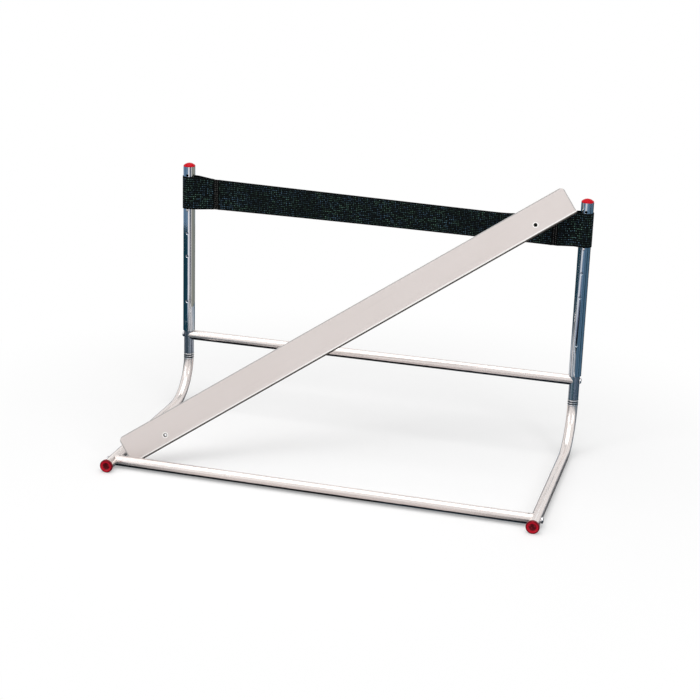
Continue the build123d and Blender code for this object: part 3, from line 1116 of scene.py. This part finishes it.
    def build(self) -> bpy.types.Object:
        """Builds the band and stands it for its CAD node."""
        path = self.plan_path()
        points, faces, uvs = [], [], []
        columns, rows = len(path), self.row_count
        travelled = 0.0
        lengths = []
        for index, (place, _) in enumerate(path):
            lengths.append(travelled)
            travelled += (path[(index + 1) % columns][0] - place).length
        for index, (place, out) in enumerate(path):
            low, high = self.edges(place.x)
            for step in range(rows + 1):
                row = step / rows
                push = self.seam_relief(place.x) + self.pucker(place.x, row, lengths[index])
                spot = place + out * push
                points.append((spot.x, spot.y, low + (high - low) * row))
        for column in range(columns):
            following = (column + 1) % columns
            near, far = column * (rows + 1), following * (rows + 1)
            start_length = lengths[column]
            end_length = lengths[following] if following else travelled
            for step in range(rows):
                faces.append((near + step, far + step, far + step + 1, near + step + 1))
                low, high = step / rows * self.height, (step + 1) / rows * self.height
                uvs += [(start_length, low), (end_length, low)]
                uvs += [(end_length, high), (start_length, high)]
        band = mesh_piece("elastic_band_cloth", points, faces)
        layer = band.data.uv_layers.new(name="Cloth")
        for loop, uv in enumerate(uvs):
            layer.data[loop].uv = uv
        thick = band.modifiers.new("thickness", "SOLIDIFY")
        thick.thickness = self.thickness
        thick.offset = 0.0
        thick.use_even_offset = True
        band.data.materials.append(self.finish.material())
        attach(band, "left_upright")
        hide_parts("elastic_band")
        log.info("elastic band: %d columns, loop %.3f m", columns, travelled)
        return band


@dataclass
class SeamStitches:
    """Rows of thread through the band beside each upright, seen on both of its faces."""

    band: ElasticBand
    pitch: float = 6.5 * MM
    length: float = 5.0 * MM
    radius: float = 0.8 * MM
    edge_margin: float = 3.0 * MM
    segments: int = 8
    rings: int = 6
    finish: ThreadFinish = ThreadFinish()

    def guides(self) -> bpy.types.Object:
        """A mesh of upright lines on the cloth, one for each row of stitches on each face."""
        points: list[tuple[float, float, float]] = []
        for side in Side:
            for inset in self.band.stitch_rows:
                x = side.value * (self.band.seam_x - inset)
                low, high = self.band.edges(x)
                for face in (-1, 1):
                    y = self.band.axis_y + face * self.band.face_at(x)
                    points += [(x, y, low + self.edge_margin), (x, y, high - self.edge_margin)]
        piece = mesh_piece("seam_stitches", [], [])
        lines = [(start, start + 1) for start in range(0, len(points), 2)]
        piece.data.from_pydata(points, lines, [])
        return piece

    def tree(self) -> Tree:
        """The node tree that lays stitches along the lines of a mesh."""
        tree = bpy.data.node_groups.new("stitches_on_lines", "GeometryNodeTree")
        sockets = (
            ("Lines", "NodeSocketGeometry"),
            ("Pitch", "NodeSocketFloat"),
            ("Half Length", "NodeSocketFloat"),
            ("Radius", "NodeSocketFloat"),
            ("Thread", "NodeSocketMaterial"),
        )
        for label, kind in sockets:
            tree.interface.new_socket(label, in_out="INPUT", socket_type=kind)
        tree.interface.new_socket("Stitches", in_out="OUTPUT", socket_type="NodeSocketGeometry")
        graph = Graph(tree)
        given = graph.add("NodeGroupInput").outputs
        curve = graph.add("GeometryNodeMeshToCurve", {"Mesh": given["Lines"]})
        spots = graph.add(
            "GeometryNodeCurveToPoints",
            {"Curve": curve.outputs[0], "Length": given["Pitch"]},
            mode="LENGTH",
        )
        ball = graph.add(
            "GeometryNodeMeshUVSphere",
            {"Segments": self.segments, "Rings": self.rings, "Radius": 1.0},
        )
        shape = graph.add(
            "ShaderNodeCombineXYZ",
            {"X": given["Radius"], "Y": given["Radius"], "Z": given["Half Length"]},
        )
        laid = graph.add(
            "GeometryNodeInstanceOnPoints",
            {"Points": spots.outputs[0], "Instance": ball.outputs[0], "Scale": shape.outputs[0]},
        )
        real = graph.add("GeometryNodeRealizeInstances", {0: laid.outputs[0]})
        smooth = graph.add("GeometryNodeSetShadeSmooth", {"Geometry": real.outputs[0]})
        dressed = graph.add(
            "GeometryNodeSetMaterial", {"Geometry": smooth.outputs[0], "Material": given["Thread"]}
        )
        graph.add("NodeGroupOutput", {"Stitches": dressed.outputs[0]})
        return tree

    def build(self) -> bpy.types.Object:
        """Lays the stitches and fixes them as a plain mesh."""
        piece = self.guides()
        values = {
            "Pitch": self.pitch,
            "Half Length": self.length / 2,
            "Radius": self.radius,
            "Thread": self.finish.material(),
        }
        laying = piece.modifiers.new("stitches", "NODES")
        laying.node_group = self.tree()
        for item in laying.node_group.interface.items_tree:
            if item.name in values:
                laying[item.identifier] = values[item.name]
        seen = piece.evaluated_get(bpy.context.evaluated_depsgraph_get())
        mesh = bpy.data.meshes.new_from_object(seen)
        piece.modifiers.clear()
        piece.data = mesh
        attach(piece, "left_upright")
        log.info("seam stitches: %d faces", len(mesh.polygons))
        return piece


# ---- Studio ---------------------------------------------------------------


DEEP_BLUE: Colour = (0.010, 0.045, 0.066)
LIGHT_BLUE: Colour = (0.16, 0.25, 0.36)
SLATE: Colour = (0.055, 0.070, 0.085)
NEAR_BLACK: Colour = (0.020, 0.026, 0.036)
LAVENDER: Colour = (0.34, 0.34, 0.44)
PINKISH: Colour = (1.00, 0.92, 0.90)
SAND: Colour = (0.36, 0.335, 0.275)
MID_BLUE: Colour = (0.085, 0.155, 0.225)
SHADED: Colour = (0.74, 0.69, 0.68)


@dataclass
class Studio:
    """The floor, the lamps, the world and the camera."""

    camera_place: Vector = field(default_factory=lambda: Vector((1.2503, -4.6497, 1.9648)))
    yaw: float = 16.28
    pitch: float = 17.43
    roll: float = 1.47
    lens: float = 87.44
    shift: float = 0.05
    floor_reach: float = 40.0
    floor_tone: Colour = (0.93, 0.93, 0.93)
    floor_fade: Span = (0.5, 1.6)
    near_glow: float = 0.25
    air_light: float = 0.42
    white: Colour = (1.0, 1.0, 1.0)
    lamps: tuple = (
        ("overhead", (0.0, -0.2, 3.2), (0.0, 0.0, 0.3), 3.6, 72.0),
        ("left", (-3.2, -3.0, 2.4), (0.0, 0.0, 0.4), 1.6, 44.0),
        ("right", (3.4, -2.6, 2.0), (0.0, 0.0, 0.4), 1.4, 32.0),
    )
    ground_lift: float = 1.0 * MM
    ground_step: float = 15.0
    left_ground: tuple = (
        (0.001, 0.85, ((-180.0, DEEP_BLUE), (20.0, SLATE))),
        (
            0.85,
            2.3,
            (
                (-180.0, DEEP_BLUE),
                (-13.0, LIGHT_BLUE),
                (-3.0, PINKISH),
                (25.0, LAVENDER),
                (37.0, NEAR_BLACK),
                (52.0, MID_BLUE),
                (150.0, DEEP_BLUE),
            ),
        ),
        (2.3, 5.0, ((-180.0, LIGHT_BLUE), (-3.0, PINKISH), (25.0, LIGHT_BLUE))),
    )
    right_ground: tuple = (
        (
            0.12,
            3.5,
            (
                (30.0, MID_BLUE),
                (52.0, LIGHT_BLUE),
                (62.0, DEEP_BLUE),
                (80.0, MID_BLUE),
                (135.0, NEAR_BLACK),
                (187.0, None),
            ),
        ),
    )
    strips: tuple = ((-0.60, -0.315), (-0.24, 0.156), (0.46, 0.90))
    strip_x: tuple = (
        (-0.62, SLATE),
        (-0.36, SHADED),
        (0.40, SHADED),
        (0.62, SLATE),
    )
    leg_shade: tuple = (0.645, 0.74, -0.36, 0.30)
    wall_distance: float = 75.0 * MM
    wall_low: float = 0.30
    wall_high: float = 1.2
    wall: tuple = (
        (-104.0 * MM, -65.0 * MM, NEAR_BLACK),
        (-65.0 * MM, -49.0 * MM, PINKISH),
        (-49.0 * MM, 300.0 * MM, SAND),
    )

    def build(self) -> None:
        """Builds all of it."""
        self.add_camera()
        self.add_floor()
        self.add_lamps()
        self.add_surroundings()
        self.add_world()

    def add_camera(self) -> None:
        """Points the camera by its heading, its slope and its lean."""
        yaw, pitch, roll = (math.radians(a) for a in (self.yaw, self.pitch, self.roll))
        level = Vector((math.cos(yaw), math.sin(yaw), 0.0))
        forward = Vector((-math.sin(yaw), math.cos(yaw), 0.0))
        ahead = forward * math.cos(pitch) - Vector((0.0, 0.0, math.sin(pitch)))
        up = level.cross(ahead)
        right = level * math.cos(roll) + up * math.sin(roll)
        top = up * math.cos(roll) - level * math.sin(roll)
        data = bpy.data.cameras.new("camera")
        data.lens = self.lens
        data.shift_x, data.shift_y = self.shift, -self.shift
        camera = bpy.data.objects.new("camera", data)
        camera.matrix_world = Matrix((right, top, -ahead)).transposed().to_4x4()
        camera.location = self.camera_place
        bpy.context.scene.collection.objects.link(camera)
        bpy.context.scene.camera = camera

    def add_floor(self) -> None:
        """A pale floor that runs out to white past the hurdle's shadow."""
        half = self.floor_reach / 2
        corners = [(-half, -half, 0), (half, -half, 0), (half, half, 0), (-half, half, 0)]
        floor = mesh_piece("floor", corners, [(0, 1, 2, 3)])
        material, graph = blank_material("floor_paper")
        matt = graph.add("ShaderNodeBsdfDiffuse", {"Color": self.floor_tone})
        glow = graph.add("ShaderNodeEmission", {"Color": self.white, "Strength": 1.0})
        length = graph.add("ShaderNodeVectorMath", {0: graph.place()}, operation="LENGTH")
        shown = graph.fit(length.outputs["Value"], *self.floor_fade, self.near_glow, 1.0)
        share = graph.math("MULTIPLY", shown, graph.seen())
        graph.finish_with("ShaderNodeOutputMaterial", share, matt, glow)
        floor.data.materials.append(material)

    def add_lamps(self) -> None:
        """Large soft lamps: one overhead, one at each side of the camera."""
        for name, place, aim, size, power in self.lamps:
            data = bpy.data.lights.new(name, "AREA")
            data.shape = "SQUARE"
            data.size = size
            data.energy = power
            lamp = bpy.data.objects.new(name, data)
            lamp.location = place
            towards = Vector(aim) - Vector(place)
            lamp.rotation_euler = towards.to_track_quat("-Z", "Y").to_euler()
            bpy.context.scene.collection.objects.link(lamp)

    def add_surroundings(self) -> None:
        """Dark ground and a sandy wall, seen only in the bright metal."""
        quads: list[tuple] = []
        grounds = (("left_board_bore", self.left_ground), ("right_board_bore", self.right_ground))
        for level, (mount, rings) in enumerate(grounds, start=1):
            for ring in rings:
                quads += self.ring_quads(mount_vector(mount), level * self.ground_lift, ring)
        level = (len(grounds) + 1) * self.ground_lift
        for front, back in self.strips:
            for (left, left_tone), (right, right_tone) in zip(self.strip_x, self.strip_x[1:]):
                corners = self.flat_corners(left, right, front, back, level)
                quads.append((corners, (left_tone, right_tone, right_tone, left_tone)))
        quads.append((self.flat_corners(*self.leg_shade, level), (NEAR_BLACK,) * 4))
        axis = mount_vector("left_board_bore")
        x = axis.x + self.wall_distance
        low, high = self.wall_low, self.wall_high
        for front, back, tone in self.wall:
            corners = ((front, low), (front, high), (back, high), (back, low))
            quads.append(([(x, axis.y + y, z) for y, z in corners], (tone,) * 4))
        points = [corner for corners, _ in quads for corner in corners]
        tones = [tone for _, corner_tones in quads for tone in corner_tones]
        faces = [tuple(range(first, first + 4)) for first in range(0, len(points), 4)]
        cards = mesh_piece("reflected_ground", points, faces, smooth=False)
        layer = cards.data.attributes.new("Tone", "FLOAT_COLOR", "POINT")
        for item, tone in zip(layer.data, tones):
            item.color = (*tone, 1.0)
        cards.data.materials.append(self.card_material())
        for rays in ("camera", "diffuse", "transmission", "shadow"):
            setattr(cards, f"visible_{rays}", False)

    @staticmethod
    def flat_corners(left: float, right: float, front: float, back: float, level: float) -> list:
        """The corners of a level rectangle, which faces up."""
        corners = ((left, front), (right, front), (right, back), (left, back))
        return [(x, y, level) for x, y in corners]

    def ring_quads(self, centre: Vector, height: float, ring: tuple) -> list:
        """The faces of one flat ring round an upright, in sectors of different tones.

        Args:
            centre: The upright's axis.
            height: Height of the ring over the floor.
            ring: Its inner and outer radius, and where each sector starts, in degrees from
                the front towards the right, with its tone. A tone of None leaves a gap.

        Returns:
            Each face's corners and the tones at them.
        """
        near, far, sectors = ring
        ends = [start for start, _ in sectors[1:]] + [360.0 + sectors[0][0]]
        quads = []
        for (start, tone), end in zip(sectors, ends):
            steps = max(1, math.ceil((end - start) / self.ground_step)) if tone else 0
            for step in range(steps):
                corners = []
                for reach, turn in ((near, 0), (far, 0), (far, 1), (near, 1)):
                    angle = math.radians(start + (end - start) * (step + turn) / steps)
                    x = centre.x + math.sin(angle) * reach
                    corners.append((x, centre.y - math.cos(angle) * reach, height))
                quads.append((corners, (tone,) * 4))
        return quads

    @staticmethod
    def card_material() -> Material:
        """A glow in each face's own tone, on the side that the face looks to."""
        material, graph = blank_material("reflected_ground")
        tone = graph.add("ShaderNodeAttribute", attribute_name="Tone").outputs["Color"]
        glow = graph.add("ShaderNodeEmission", {"Color": tone, "Strength": 1.0})
        clear = graph.add("ShaderNodeBsdfTransparent")
        behind = graph.add("ShaderNodeNewGeometry").outputs["Backfacing"]
        graph.finish_with("ShaderNodeOutputMaterial", behind, glow, clear)
        return material

    def add_world(self) -> None:
        """An even white world, gentler as a light than it looks."""
        world = bpy.data.worlds.new("studio_air")
        world.use_nodes = True
        graph = Graph(world.node_tree)
        soft = graph.add("ShaderNodeBackground", {"Color": self.white, "Strength": self.air_light})
        white = graph.add("ShaderNodeBackground", {"Color": self.white, "Strength": 1.0})
        graph.finish_with("ShaderNodeOutputWorld", graph.seen(), soft, white)
        bpy.context.scene.world = world


def set_view() -> None:
    """Plain colour management."""
    bpy.context.scene.view_settings.view_transform = "Standard"


def main() -> None:
    """Builds the scene in order."""
    logging.basicConfig(level=logging.INFO, format="%(name)s: %(message)s")
    set_view()
    Studio().build()
    BaseFrame().dress()
    Uprights().dress()
    HurdleBoard().dress()
    band = ElasticBand()
    band.build()
    SeamStitches(band).build()


if __name__ == "__main__":
    main()
